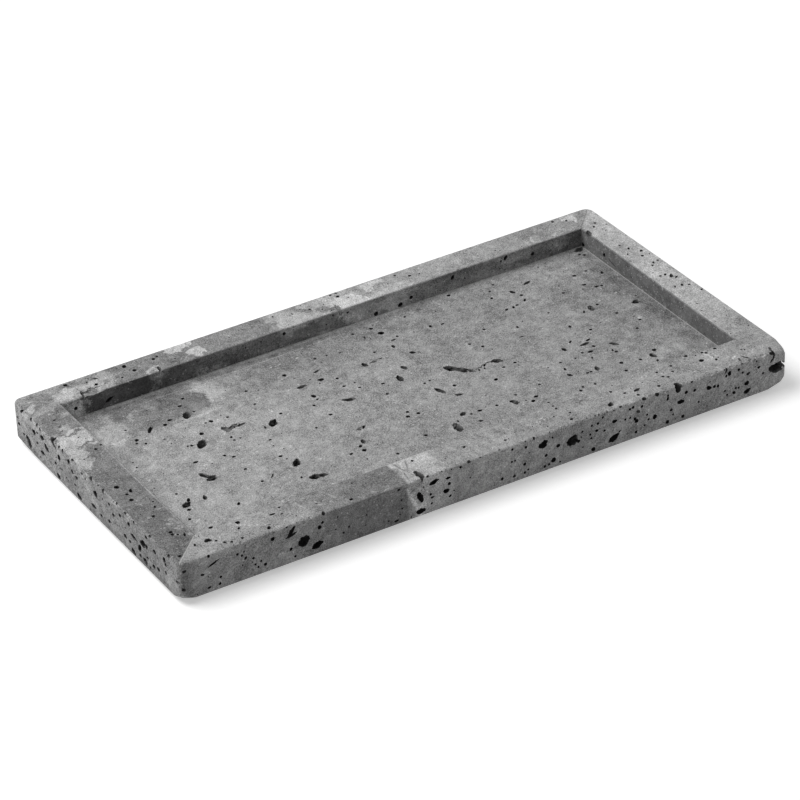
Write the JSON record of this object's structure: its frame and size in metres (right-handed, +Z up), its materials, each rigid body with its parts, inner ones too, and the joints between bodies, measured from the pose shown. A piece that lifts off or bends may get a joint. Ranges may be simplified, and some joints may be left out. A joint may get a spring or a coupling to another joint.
{
  "type": "travertine tray",
  "caption": "Low rectangular stone tray of mitred rails bonded round a let-in floor panel, with a shallow recess, flat rim, natural pores and anti-slip pads; holds small things.",
  "frame": {"origin": "under the middle of the tray, on the surface that its pads stand on", "axes": "+X along the tray's length, +Y across it to the back, +Z up"},
  "size_m": [0.3056, 0.155, 0.0212],
  "materials": {
    "travertine": "honed, unfilled grey travertine",
    "resin": "cured stone resin, ground flush",
    "pad_rubber": "matt anti-slip rubber",
    "pad_film": "milky adhesive film"
  },
  "bodies": {
    "root": {"floor_panel": "travertine", "front_rail": "travertine", "back_rail": "travertine", "left_rail": "travertine", "right_rail": "travertine", "mitre_bond_front_left": "resin", "mitre_bond_front_right": "resin", "mitre_bond_back_left": "resin", "mitre_bond_back_right": "resin", "floor_bond": "resin", "pad_front_left": "pad_rubber", "pad_front_right": "pad_rubber", "pad_back_left": "pad_rubber", "pad_back_right": "pad_rubber", "pad_film_front_left": "pad_film", "pad_film_front_right": "pad_film", "pad_film_back_left": "pad_film", "pad_film_back_right": "pad_film"}
  },
  "joints": []
}
